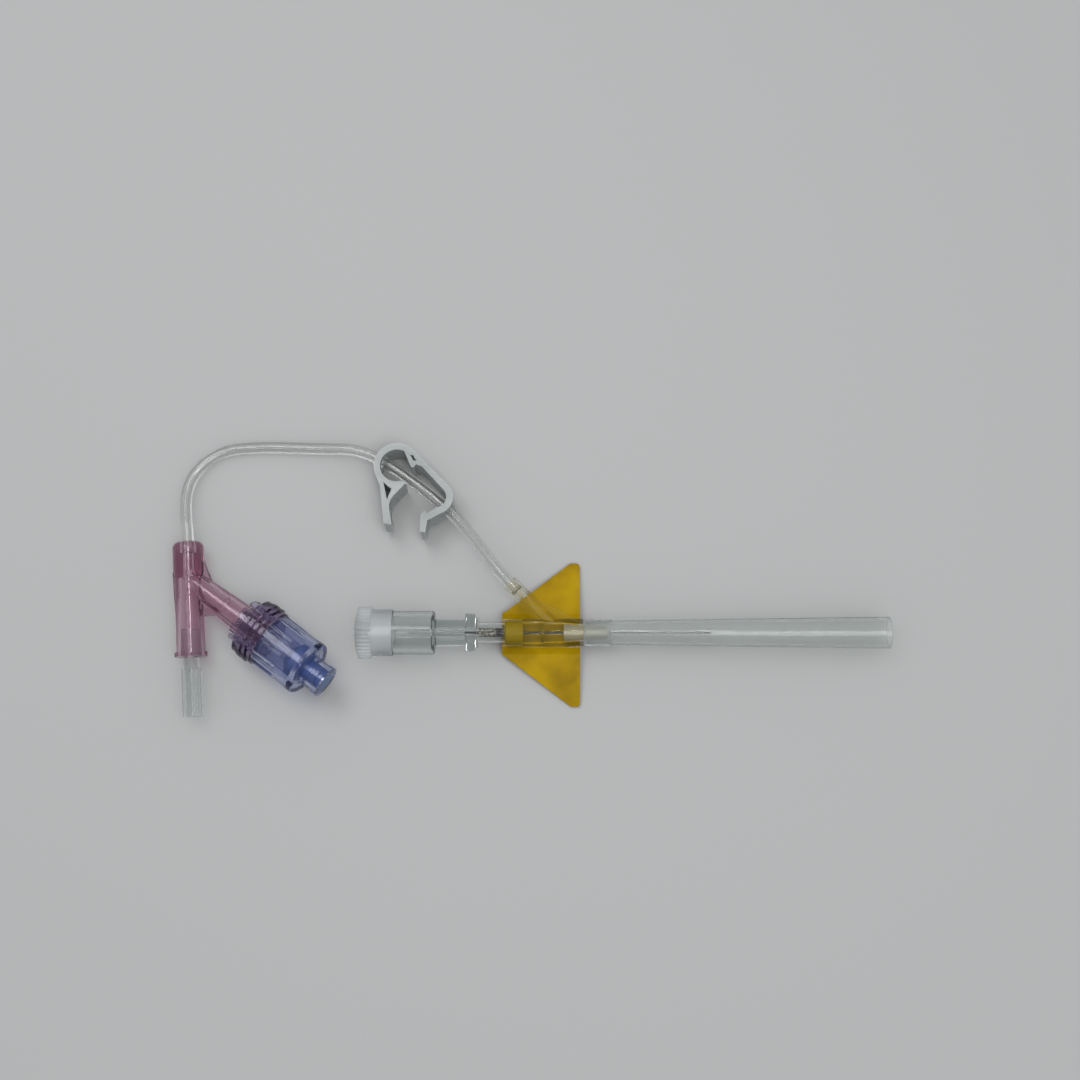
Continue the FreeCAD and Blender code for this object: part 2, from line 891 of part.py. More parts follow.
def port_lugs(name, length, direction):
    """The two locking lugs over and under a luer mouth, cut from a wider rim by a flat bar."""
    start = direction * float(length - s.port_rim_length)
    disc = cylinder(f"{name}_disc", s.lug_reach, s.port_rim_length, start, direction)
    bar = doc.addObject("Part::Box", f"{name}_bar")
    bind(bar, Length=s.port_rim_length, Width=s.lug_width, Height=s.lug_reach * 2)
    corner = FreeCAD.Vector(0, float(s.lug_width) / -2, -float(s.lug_reach))
    turn = FreeCAD.Rotation(X_AXIS, direction)
    bar.Placement = FreeCAD.Placement(start + turn.multVec(corner), turn)
    lugs = doc.addObject("Part::Common", f"{name}_lugs")
    lugs.Base = disc
    lugs.Tool = bar
    return lugs


def make_y_connector():
    leg = leg_direction()
    branch = branch_direction()
    edge = s.port_top_edge
    top = [
        (0, 0),
        (0, s.port_radius),
        (s.port_top_edge, s.port_top_radius),
        (s.port_top_length - edge, s.port_top_radius, -edge),
        (s.port_top_length, s.port_top_radius - edge),
        (s.port_top_length, 0),
    ]
    web_out = s.web_drop * sine(s.branch_angle) / cosine(s.branch_angle)
    web = [
        (0, 0),
        (0, -s.web_drop),
        (web_out, -s.web_drop),
    ]
    web_cap = [
        (0, -s.web_drop),
        (web_out, -s.web_drop),
        (web_out - s.web_cap_height, s.web_cap_height - s.web_drop),
        (0, s.web_cap_height - s.web_drop),
    ]
    rib = [
        (0, edge),
        (-s.port_top_radius - s.rib_reach, edge),
        (-s.port_radius, -s.rib_drop),
        (0, -s.rib_drop),
    ]
    across = sine(s.branch_angle)
    down = cosine(s.branch_angle)
    rib_end = s.branch_rib_length
    rib_top = s.branch_rib_reach
    branch_rib = [
        (0, 0),
        (0, s.branch_rib_rise),
        (s.port_top_radius, s.branch_rib_rise),
        (rib_end * across + rib_top * down, rib_top * across - rib_end * down),
        (rib_end * across, -rib_end * down),
    ]
    branch_outline = port_outline(s.branch_length, s.branch_root_radius, s.branch_radius)
    solids = [
        turned("y_leg", port_outline(s.leg_length, s.port_radius, s.port_radius), direction=leg),
        turned("y_branch", branch_outline, direction=branch),
        turned("y_top", top, direction=-leg),
        plate("y_web", web, s.web_width),
        plate("y_web_cap", web_cap, s.web_cap_width),
        plate("y_rib", rib, s.web_width),
        plate("y_branch_rib", branch_rib, s.web_width),
        port_lugs("y_leg", s.leg_length, leg),
        port_lugs("y_branch", s.branch_length, branch),
    ]
    socket_start = -leg * float(s.port_top_length - s.socket_depth)
    bores = [
        turned("y_leg_bore", luer_bore(s.leg_length), direction=leg),
        turned("y_branch_bore", luer_bore(s.branch_length), direction=branch),
        cylinder("y_top_bore", s.port_passage_radius, s.port_top_length, direction=-leg),
        cylinder("y_socket", s.tube_radius + s.press_gap, s.socket_depth, socket_start, -leg),
    ]
    return moulding("y_connector", solids, bores, port_place())


def on_port(direction, distance):
    """A place on one of the Y-connector's axes, with X running outwards along it."""
    place = port_place()
    turn = place.Rotation.multiply(FreeCAD.Rotation(X_AXIS, direction))
    return FreeCAD.Placement(place.multVec(direction * float(distance)), turn)


def luer_radius(from_mouth):
    """Radius of a male luer at a distance inside the mouth that it sits in."""
    return s.luer_mouth_radius - s.luer_taper * from_mouth - s.luer_clearance


def make_end_plug():
    nose = s.plug_nose_length
    neck_end = nose + s.stop_gap + s.plug_neck_length
    points = [
        (0, 0),
        (0, luer_radius(nose)),
        (nose, luer_radius(0)),
        (nose, s.plug_neck_radius),
        (neck_end, s.plug_neck_radius),
        (neck_end, s.plug_core_radius),
        (neck_end + s.plug_handle_length, s.plug_core_radius),
        (neck_end + s.plug_handle_length, 0),
    ]
    place = on_port(leg_direction(), s.leg_length - nose)
    body = turned_body("end_plug", points, place)
    wide = s.plug_handle_width / 2
    thin = s.plug_rib_width / 2
    quarters = [(thin, wide), (thin, thin), (wide, thin)]
    cross = quarters + [(x, -y) for x, y in reversed(quarters)]
    cross += [(-x, -y) for x, y in quarters] + [(-x, y) for x, y in reversed(quarters)]
    handle = body.newObject("PartDesign::Pad", "plug_ribs")
    handle.Profile = body_sketch(body, "plug_rib_outline", "YZ_Plane", cross, neck_end)
    bind(handle, Length=s.plug_handle_length)
    body.Tip = handle
    return body


# Stations of the needle-free connector from its male luer's tip, which stays clear of the passage's step
mouth_gap = s.stop_gap
floor_start = s.male_luer_length
lip_start = floor_start - s.grip_length - s.lip_length + s.base_floor * 0.1
grip_start = lip_start + s.lip_length
grip_end = grip_start + s.grip_length
floor_end = grip_end + s.base_floor * 0.5
ring_start = grip_end + s.housing_length
ring_end = ring_start + s.ring_length
access_end = ring_end + s.access_neck_length
cone_start = ring_start + s.ring_length * 0.1
cone_end = ring_end - s.ring_length * 0.2
connector_start = s.branch_length + mouth_gap - s.male_luer_length


def make_connector_base():
    ridge = s.grip_ridge
    pitch = s.grip_length / 4
    inner = s.housing_cavity_radius
    points = [
        (0, s.male_luer_bore_radius),
        (0, luer_radius(s.male_luer_length)),
        (floor_start, luer_radius(0)),
        (floor_start, s.collar_bore_radius),
        (lip_start, s.collar_bore_radius),
        (lip_start, s.lip_radius),
        (grip_start, s.lip_radius),
    ]
    low_ridge = s.grip_radius - s.grip_end_drop
    for turn in range(4):
        rear = grip_start + pitch * turn
        crest = s.grip_radius if turn in (1, 2) else low_ridge
        points += [
            (rear, crest - s.grip_valley_drop),
            (rear + (pitch - ridge) / 2, crest),
            (rear + (pitch + ridge) / 2, crest),
        ]
    points += [
        (grip_end, low_ridge - s.grip_valley_drop),
        (grip_end, inner),
        (floor_end, inner),
        (floor_end, s.post_radius),
        (floor_end + s.post_length, s.post_radius),
        (floor_end + s.post_length, s.male_luer_bore_radius * 0.5),
        (floor_end, s.male_luer_bore_radius * 0.5),
        (floor_start, s.male_luer_bore_radius),
    ]
    body = turned_body("connector_base", points, on_port(branch_direction(), connector_start))
    half = s.lip_notch_width / 2
    notch_outline = [
        (half, s.collar_bore_radius * 0.9),
        (half, s.lip_radius + MARGIN),
        (-half, s.lip_radius + MARGIN),
        (-half, s.collar_bore_radius * 0.9),
    ]
    sketch = body_sketch(body, "notch_outline", "YZ_Plane", notch_outline, lip_start)
    notch = cut(body, "notch", sketch, s.lip_notch_depth, reverse=True)
    around(body, "notches", notch, s.lip_notches)
    return body


def make_connector_housing():
    wall_in = s.housing_cavity_radius
    edge = s.ring_length / 2
    step = ring_start - s.housing_step_length
    rim_start = access_end - s.access_rim_length
    lug_start = rim_start - s.access_lug_length
    points = [
        (grip_end, wall_in + s.press_gap),
        (grip_end, s.housing_radius),
        (ring_start, s.housing_radius),
        (ring_start, s.ring_radius),
        (ring_end - edge, s.ring_radius, -edge),
        (ring_end, s.ring_radius - edge),
        (ring_end, s.access_neck_radius),
        (rim_start, s.access_neck_radius),
        (rim_start, s.access_rim_radius),
        (access_end, s.access_rim_radius),
        (access_end, s.access_bore_radius),
        (cone_end, s.access_bore_radius),
        (cone_start, wall_in + s.press_gap),
    ]
    body = turned_body("connector_housing", points, on_port(branch_direction(), connector_start))
    reach = s.housing_radius + s.flute_radius * 0.45
    flute_outline = circle_sketch(body, "flute_outline", "YZ_Plane", (reach, 0), s.flute_radius, grip_end)
    flute = cut(body, "flute", flute_outline, step - grip_end, reverse=True)
    around(body, "flutes", flute, s.flute_count)
    half = s.lug_width / 2
    lug_outline = [
        (half, -s.lug_reach),
        (half, s.lug_reach),
        (-half, s.lug_reach),
        (-half, -s.lug_reach),
    ]
    lug_outline[1] = (half, s.lug_reach, s.lug_reach)
    lug_outline[3] = (-half, -s.lug_reach, s.lug_reach)
    bore = circle_sketch(body, "access_bore_outline", "YZ_Plane", (0, 0), s.access_bore_radius, cone_end)
    lugs = body.newObject("PartDesign::Pad", "access_lugs")
    lugs.Profile = body_sketch(body, "access_lug_outline", "YZ_Plane", lug_outline, lug_start)
    bind(lugs, Length=s.access_lug_length)
    body.Tip = lugs
    cut(body, "access_bore", bore, access_end - cone_end, reverse=True)
    return body


def make_valve_piston():
    shoulder_end = cone_start
    shoulder_start = shoulder_end - s.piston_shoulder_length
    foot = shoulder_start - s.piston_foot_length
    head = s.access_bore_radius - s.piston_clearance
    hollow = s.post_radius + s.piston_clearance * 2
    hollow_end = floor_end + s.post_length + s.piston_travel + s.piston_clearance
    wide = s.piston_shoulder_radius
    points = [
        (foot, hollow),
        (foot, hollow + s.piston_wall),
        (shoulder_start, wide),
        (shoulder_end, wide),
        (cone_end - s.piston_clearance, head),
        (access_end, head),
        (access_end, 0),
        (hollow_end, 0),
        (hollow_end, hollow),
    ]
    return turned_body("valve_piston", points, on_port(branch_direction(), connector_start))


def make_pinch_clamp():
    """One springy strip: a ring, an arm over the line, a latch that hooks a lower arm, and two jaws."""
    bore = s.ring_bore_radius
    outer = s.ring_outer_radius
    wall = s.clamp_wall
    reach = s.arm_reach
    bend_out = s.bend_radius
    bend_in = s.bend_radius - wall
    bend_u = reach - bend_out
    bend_v = outer - s.arm_drop - bend_out
    jaw = s.jaw_u
    lower_in = jaw + s.jaw_width
    jaw_foot = bore * 0.85
    points = [
        (-bore, 0, bore),
        (jaw_foot, -root(bore * bore - jaw_foot * jaw_foot)),
        (jaw, s.lower_jaw_v),
        (lower_in, s.lower_jaw_v),
        (lower_in, s.lower_bend_v + s.lower_bend_radius * 0.87, s.lower_bend_radius),
        (s.lower_bend_u, s.lower_bend_v),
        (s.lower_end_u, s.lower_end_v),
        (s.lower_end_u - wall, s.lower_end_v - wall * 0.67),
        (outer * 0.1, -outer * 1.16),
        (-outer * 0.4, -outer * 0.9165, -outer),
        (-outer, 0, -outer),
        (0, outer),
        (bend_u + wall * 0.2, bend_v + bend_out, -bend_out),
        (s.bend_end_u, s.bend_end_v),
        (s.latch_u, s.latch_v),
        (s.latch_end_u, s.latch_end_v),
        (s.latch_end_u - wall * 0.67, s.latch_end_v - wall * 0.45),
        (s.barb_u, s.latch_v - wall * 0.15),
        (s.barb_u, s.latch_v - wall * 0.15 + s.barb_height),
        (s.barb_u + wall * 0.55, s.latch_v - wall * 0.35 + s.barb_height),
        (s.bend_end_u - wall, s.bend_end_v + wall * 0.3, bend_in),
        (bend_u + wall * 0.1, bend_v + bend_in),
        (lower_in, s.arm_underside),
        (s.upper_jaw_u + wall * 0.25, s.arm_underside - wall * 0.4),
        (s.upper_jaw_u + wall * 0.35, s.upper_jaw_v + wall * 0.25),
        (s.upper_jaw_u, s.upper_jaw_v),
        (-bore * 0.28, root(bore * bore * (1 - 0.0784)), bore),
    ]
    body = doc.addObject("PartDesign::Body", "pinch_clamp")
    body.Label = "pinch_clamp"
    strip = body.newObject("PartDesign::Pad", "clamp_strip")
    strip.Profile = body_sketch(body, "clamp_outline", "XY_Plane", points)
    bind(strip, Length=s.clamp_depth)
    lower_core = [
        (outer * 0.1, -outer * 0.94),
        (jaw * 0.8, -outer * 0.92),
        (jaw * 1.06, -outer * 1.4),
    ]
    upper_core = [
        (bore * 0.14, bore * 1.02),
        (bore * 0.28, bore * 1.12),
        (bore * 0.69, bore * 1.0),
        (bore * 0.55, bore * 0.91),
    ]
    cut(body, "lower_core", body_sketch(body, "lower_core_outline", "XY_Plane", lower_core))
    cut(body, "upper_core", body_sketch(body, "upper_core_outline", "XY_Plane", upper_core))
    middle = s.clamp_depth / 2
    hole = s.tube_hole_radius
    left_place = (s.left_hole_v, middle)
    right_place = (s.right_hole_v, middle)
    left_hole = circle_sketch(body, "left_hole_outline", "YZ_Plane", left_place, hole, -outer * 1.2)
    cut(body, "left_hole", left_hole, outer * 1.2, reverse=True)
    right_hole = circle_sketch(body, "right_hole_outline", "YZ_Plane", right_place, hole, reach - wall * 3)
    cut(body, "right_hole", right_hole, wall * 4, reverse=True)
    tilt = FreeCAD.Rotation(X_AXIS, -float(s.clamp_tilt))
    turn = FreeCAD.Rotation(Z_AXIS, float(s.clamp_turn))
    lift = float(outer) * math.sin(math.radians(float(s.clamp_tilt)))
    spot = FreeCAD.Vector(float(s.clamp_x), float(s.clamp_y), lift)
    body.Placement = FreeCAD.Placement(spot, tilt.multiply(turn))
    return body


def line_points():
    """The line's corner points: straight out of each socket, with the chosen points between."""
    hub_spot = FreeCAD.Vector(float(s.hub_rear + s.arm_root), float(s.axis_side), axis_height)
    arm = arm_direction()
    start = hub_spot + arm * float(s.arm_length - s.socket_depth)
    out = start + arm * float(s.tube_first_run)
    port_top = on_port(-leg_direction(), s.port_top_length - s.socket_depth)
    end = port_top.Base
    before_end = port_top.multVec(X_AXIS * float(s.tube_last_run))
    return [start, out] + [FreeCAD.Vector(*p) for p in LINE_POINTS] + [before_end, end]


def make_extension_tube():
    """A plain tube along straight runs joined by tangent arcs."""
    points = line_points()
    edges = []
    reached = points[0]
    radii = []
    for before, corner, after in zip(points, points[1:], points[2:]):
        came = (corner - before).normalize()
        goes = (after - corner).normalize()
        turn = came.getAngle(goes)
        run = min((corner - before).Length, (after - corner).Length)
        radius = ARC_SHARE * run / math.tan(turn / 2)
        radii.append(radius)
        arc_start = corner - came * ARC_SHARE * run
        arc_end = corner + goes * ARC_SHARE * run
        inward = (goes - came).normalize()
        middle = corner + inward * radius * (1 / math.cos(turn / 2) - 1)
        edges.append(Part.LineSegment(reached, arc_start).toShape())
        edges.append(Part.Arc(arc_start, middle, arc_end).toShape())
        reached = arc_end
    edges.append(Part.LineSegment(reached, points[-1]).toShape())
    path = Part.Wire(edges)
    across = (points[1] - points[0]).normalize()
    ring = Part.Wire(Part.makeCircle(float(s.tube_radius), points[0], across))
    tube = doc.addObject("Part::Feature", "extension_tube")
    tube.Label = "extension_tube"
    tube.Shape = path.makePipeShell([ring], True, False)
    expected = math.pi * float(s.tube_radius) ** 2 * path.Length
    print("line length", round(path.Length, 2), "volume", round(tube.Shape.Volume / expected, 5))
    print("line radii", [round(r, 1) for r in radii])
    return tube


def check(pieces):
    bad = [item.Name for item in doc.Objects if "Invalid" in item.State or "Error" in item.State]
    for piece in pieces:
        if piece.Shape.isNull() or not piece.Shape.isValid() or len(piece.Shape.Solids) != 1:
            bad.append(f"{piece.Label} shape")
    if bad:
        raise RuntimeError(f"failed: {bad}")


pieces = [
    make_grip_cap(),
    make_flash_filter(),
    make_flash_barrel(),
    make_needle_holder(),
    make_needle(),
    make_guard_housing(),
    make_safety_clip(),
    make_cannula_hub(),
    make_septum(),
    make_seal_disc(),
    make_nose_sleeve(),
    make_catheter_tube(),
    make_wings(),
    make_needle_cover(),
    make_extension_tube(),
    make_pinch_clamp(),
    make_y_connector(),
    make_end_plug(),
    make_connector_base(),
    make_connector_housing(),
    make_valve_piston(),
]
doc.recompute()
check(pieces)
os.makedirs("parts", exist_ok=True)
for piece in pieces:
    piece.Shape.exportStep(f"parts/{piece.Label}.step")
    print(piece.Label, round(piece.Shape.Volume, 2))
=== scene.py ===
import bpy
import math
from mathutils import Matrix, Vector


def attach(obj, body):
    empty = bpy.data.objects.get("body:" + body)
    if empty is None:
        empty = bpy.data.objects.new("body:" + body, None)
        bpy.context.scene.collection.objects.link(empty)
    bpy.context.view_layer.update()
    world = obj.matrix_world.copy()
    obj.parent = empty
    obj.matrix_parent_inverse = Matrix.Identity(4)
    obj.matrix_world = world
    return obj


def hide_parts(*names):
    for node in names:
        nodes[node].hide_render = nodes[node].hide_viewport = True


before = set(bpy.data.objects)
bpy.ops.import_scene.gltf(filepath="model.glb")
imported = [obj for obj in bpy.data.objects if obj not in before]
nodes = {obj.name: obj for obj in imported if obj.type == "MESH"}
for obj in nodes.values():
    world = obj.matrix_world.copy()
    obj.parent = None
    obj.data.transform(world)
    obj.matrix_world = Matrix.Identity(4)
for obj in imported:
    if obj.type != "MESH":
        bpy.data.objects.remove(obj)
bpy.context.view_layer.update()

MM = 0.001
CREASE_ANGLE = math.radians(32)

# View of the photograph: nearly straight down, a little from the near side
VIEW_TARGET = Vector((1.86, 8.41, 5.25)) * MM
VIEW_ELEVATION = math.radians(82)
VIEW_DISTANCE = 340 * MM
PIXELS_PER_MM = 4.9
HALF_FRAME_PIXELS = 540
NEAREST_SEEN = 0.01

# Room: the floor lies a hair below the surface that the set lies on
FLOOR_HALF = 1.2
FLOOR_DROP = 0.02 * MM
FLOOR_COLOUR = (0.45, 0.455, 0.455)
FLOOR_ROUGHNESS = 0.8
LAMPS = [
    ("key", (-0.2, 0.24, 0.6), 0.3, 1.4),
    ("fill", (0.16, -0.16, 0.7), 0.35, 1.6),
    ("spark", (0.05, 0.12, 0.7), 0.09, 0.4),
]
SKY_STOPS = [
    (0.05, (0.085, 0.088, 0.09)),
    (0.75, (0.51, 0.52, 0.53)),
]

# Grain of the skins, in features per metre, and the part of a noise's range that is used
DRIFT_GRAIN = 180
GLOSS_GRAIN = 420
NOISE_LOW = 0.3
NOISE_HIGH = 0.7

# Frosted band's added roughness, and how much of a lamp's light a clear piece lets through
FROST_ROUGHNESS = 0.45
SHADOW_LIGHT = 0.55
SHADOW_TINT = 0.43

# The free line's way from the hub's arm to the Y-connector, as in the part's source
LINE_DIAMETER = 2.4 * MM
LINE_WALL = 0.65 * MM
LINE_ROUND_STEPS = 6
LINE_LONG_STEPS = 14
LINE_ROUTE_MM = [
    (-2.675, -2.065, 5.25),
    (-6.352, 1.612, 5.25),
    (-12.75, 10.35, 5.0),
    (-18.95, 16.85, 4.6),
    (-28.7, 24.1, 3.85),
    (-35.7, 27.8, 2.7),
    (-43.0, 28.0, 1.6),
    (-50.0, 28.3, 1.25),
    (-56.9, 28.4, 1.2),
    (-63.4, 27.8, 1.2),
    (-68.1, 25.1, 1.35),
    (-71.0, 20.6, 1.85),
    (-71.2, 14.9, 2.9),
    (-70.344, 10.163, 4.0),
    (-70.091, 5.77, 4.0),
]


def link(tree, source, target):
    """Join two sockets of a node tree."""
    tree.links.new(source, target)


def material(name):
    """An empty node material with its output."""
    mat = bpy.data.materials.new(name)
    mat.use_nodes = True
    mat.node_tree.nodes.clear()
    out = mat.node_tree.nodes.new("ShaderNodeOutputMaterial")
    return mat, mat.node_tree, out


def noise(tree, scale, detail=3.0):
    """Noise over the piece's own coordinates, in which the scale counts per metre."""
    place = tree.nodes.new("ShaderNodeTexCoord")
    texture = tree.nodes.new("ShaderNodeTexNoise")
    texture.inputs["Scale"].default_value = scale
    texture.inputs["Detail"].default_value = detail
    link(tree, place.outputs["Object"], texture.inputs["Vector"])
    return texture.outputs["Fac"]


def spread(tree, source, low, high):
    """The source's middle range stretched between two values."""
    ramp = tree.nodes.new("ShaderNodeMapRange")
    ramp.inputs["From Min"].default_value = NOISE_LOW
    ramp.inputs["From Max"].default_value = NOISE_HIGH
    ramp.inputs["To Min"].default_value = low
    ramp.inputs["To Max"].default_value = high
    link(tree, source, ramp.inputs["Value"])
    return ramp.outputs["Result"]


def tinted(tree, source, dark, light):
    """A colour that drifts between two with the source."""
    mix = tree.nodes.new("ShaderNodeMix")
    mix.data_type = "RGBA"
    mix.inputs["A"].default_value = (*dark, 1)
    mix.inputs["B"].default_value = (*light, 1)
    link(tree, spread(tree, source, 0, 1), mix.inputs["Factor"])
    return mix.outputs["Result"]


def bumped(tree, source, depth):
    """A normal dented by the source to the depth."""
    bump = tree.nodes.new("ShaderNodeBump")
    bump.inputs["Strength"].default_value = 1.0
    bump.inputs["Distance"].default_value = depth
    link(tree, source, bump.inputs["Height"])
    return bump.outputs["Normal"]


def moulded(name, dark, light, rough=(0.3, 0.45), grain=900, depth=0.004 * MM, clear=0.0, soft=0.0,
            shine=0.5):
    """Moulded plastic or rubber with an uneven skin; soft is how far light creeps beneath it, in metres."""
    mat, tree, out = material(name)
    shader = tree.nodes.new("ShaderNodeBsdfPrincipled")
    drift = noise(tree, DRIFT_GRAIN, 2)
    skin = noise(tree, grain, 4)
    link(tree, tinted(tree, drift, dark, light), shader.inputs["Base Color"])
    link(tree, spread(tree, skin, *rough), shader.inputs["Roughness"])
    link(tree, bumped(tree, skin, depth), shader.inputs["Normal"])
    shader.inputs["Transmission Weight"].default_value = clear
    shader.inputs["Subsurface Weight"].default_value = 1.0 if soft else 0.0
    shader.inputs["Subsurface Radius"].default_value = (1.0, 1.0, 1.0)
    shader.inputs["Subsurface Scale"].default_value = soft
    shader.inputs["Specular IOR Level"].default_value = shine
    link(tree, shader.outputs["BSDF"], out.inputs["Surface"])
    return mat


def rear_frost(tree, gloss, share):
    """The gloss with a frosted band added over the rear share of the piece's length."""
    place = tree.nodes.new("ShaderNodeTexCoord")
    parts = tree.nodes.new("ShaderNodeSeparateXYZ")
    band = tree.nodes.new("ShaderNodeMath")
    band.operation = "LESS_THAN"
    band.inputs[1].default_value = share
    frost = tree.nodes.new("ShaderNodeMath")
    frost.operation = "MULTIPLY_ADD"
    frost.inputs[1].default_value = FROST_ROUGHNESS
    link(tree, place.outputs["Generated"], parts.inputs["Vector"])
    link(tree, parts.outputs["X"], band.inputs[0])
    link(tree, band.outputs["Value"], frost.inputs[0])
    link(tree, gloss, frost.inputs[2])
    return frost.outputs["Value"]


def clear_plastic(name, tint, depth_colour=None, density=0.0, rough=(0.03, 0.08), haze_or_painted_glow=0.0,
                  haze_or_glow_colour=(0.5, 0.52, 0.52), wave=0.002 * MM, bend=1.4, rear_share=0.0):
    """See-through plastic that lets the lamps through, coloured by its depth, with a diffuse layer that is
    haze or painted glow.
    """
    mat, tree, out = material(name)
    shader = tree.nodes.new("ShaderNodeBsdfPrincipled")
    shader.inputs["Base Color"].default_value = (*tint, 1)
    shader.inputs["Transmission Weight"].default_value = 1.0
    shader.inputs["IOR"].default_value = bend
    skin = noise(tree, GLOSS_GRAIN)
    gloss = spread(tree, skin, *rough)
    if rear_share:
        gloss = rear_frost(tree, gloss, rear_share)
    link(tree, gloss, shader.inputs["Roughness"])
    link(tree, bumped(tree, skin, wave), shader.inputs["Normal"])
    body = shader.outputs["BSDF"]
    # A diffuse layer mixed in: real milky haze, or on the hub a painted yellow glow
    if haze_or_painted_glow:
        milk_or_painted_glow = tree.nodes.new("ShaderNodeBsdfDiffuse")
        milk_or_painted_glow.inputs["Color"].default_value = (*haze_or_glow_colour, 1)
        blend = tree.nodes.new("ShaderNodeMixShader")
        blend.inputs[0].default_value = haze_or_painted_glow
        link(tree, body, blend.inputs[1])
        link(tree, milk_or_painted_glow.outputs["BSDF"], blend.inputs[2])
        body = blend.outputs["Shader"]
    rays = tree.nodes.new("ShaderNodeLightPath")
    open_way = tree.nodes.new("ShaderNodeBsdfTransparent")
    open_way.inputs["Color"].default_value = (*[SHADOW_LIGHT + SHADOW_TINT * c for c in tint], 1)
    mix = tree.nodes.new("ShaderNodeMixShader")
    link(tree, rays.outputs["Is Shadow Ray"], mix.inputs[0])
    link(tree, body, mix.inputs[1])
    link(tree, open_way.outputs["BSDF"], mix.inputs[2])
    link(tree, mix.outputs["Shader"], out.inputs["Surface"])
    if density:
        stain = tree.nodes.new("ShaderNodeVolumeAbsorption")
        stain.inputs["Color"].default_value = (*depth_colour, 1)
        stain.inputs["Density"].default_value = density
        link(tree, stain.outputs["Volume"], out.inputs["Volume"])
    return mat


def steel(name, dark, light, grain=2600, dent=0.001 * MM, rough=(0.2, 0.4)):
    """Bare steel with a drawn or, with deep dents, a creased skin."""
    mat, tree, out = material(name)
    shader = tree.nodes.new("ShaderNodeBsdfPrincipled")
    skin = noise(tree, grain)
    link(tree, tinted(tree, skin, dark, light), shader.inputs["Base Color"])
    link(tree, spread(tree, skin, *rough), shader.inputs["Roughness"])
    link(tree, bumped(tree, skin, dent), shader.inputs["Normal"])
    shader.inputs["Metallic"].default_value = 1.0
    link(tree, shader.outputs["BSDF"], out.inputs["Surface"])
    return mat


def dress(node, mat):
    """Give a carried-over piece its material, with smooth curves and crisp edges."""
    piece = nodes[node]
    for slot in piece.material_slots:
        slot.material = mat
    piece.data.shade_smooth()
    piece.data.set_sharp_from_angle(angle=CREASE_ANGLE)


def dress_clear_pieces():
    """The hub, barrel, holder, guard, cover, plug and cap."""
    smoke = (0.5, 0.6, 0.6)
    # Painted light: the hub's yellow diffuse layer and warm tint stand in for the glow of the yellow wing
    # beneath it
    hub = clear_plastic("clear_hub", (0.99, 0.98, 0.93), rough=(0.0, 0.02), haze_or_painted_glow=0.045,
                        haze_or_glow_colour=(0.5, 0.4, 0.1), bend=1.14, wave=0.0)
    barrel = clear_plastic("clear_barrel", (0.93, 0.94, 0.94), smoke, 90, haze_or_painted_glow=0.05, bend=1.35, wave=0.0)
    holder = clear_plastic("clear_holder", (0.95, 0.95, 0.95), rough=(0.14, 0.16), haze_or_painted_glow=0.3, wave=0.0)
    guard = clear_plastic("clear_guard", (0.95, 0.96, 0.95), smoke, 60, haze_or_painted_glow=0.02, bend=1.3, wave=0.0)
    cover = clear_plastic("clear_cover", (0.95, 0.965, 0.95), smoke, 80, rough=(0.0, 0.02), haze_or_painted_glow=0.1,
                          bend=1.3, wave=0.0, rear_share=0.09)
    plug = clear_plastic("clear_plug", (0.95, 0.96, 0.96), smoke, 90, haze_or_painted_glow=0.04)
    frosted = clear_plastic("frosted_cap", (0.95, 0.96, 0.96), rough=(0.3, 0.38), haze_or_painted_glow=0.3,
                            haze_or_glow_colour=(0.6, 0.63, 0.65), bend=1.22)
    dress("cannula_hub", hub)
    dress("flash_barrel", barrel)
    dress("needle_holder", holder)
    dress("guard_housing", guard)
    dress("needle_cover", cover)
    dress("end_plug", plug)
    dress("grip_cap", frosted)


def dress_tinted_pieces():
    """The pink Y-connector and the two halves of the needle-free connector."""
    pink = clear_plastic("pink_moulding", (0.95, 0.88, 0.92), (0.62, 0.25, 0.42), 240, haze_or_painted_glow=0.04,
                         haze_or_glow_colour=(0.5, 0.25, 0.36))
    violet = clear_plastic("violet_moulding", (0.8, 0.76, 0.88), (0.3, 0.17, 0.42), 260, haze_or_painted_glow=0.05,
                           haze_or_glow_colour=(0.12, 0.08, 0.17))
    indigo = clear_plastic("indigo_moulding", (0.88, 0.9, 0.97), (0.25, 0.33, 0.72), 180, haze_or_painted_glow=0.07,
                           haze_or_glow_colour=(0.12, 0.17, 0.42))
    dress("y_connector", pink)
    dress("connector_base", violet)
    dress("connector_housing", indigo)


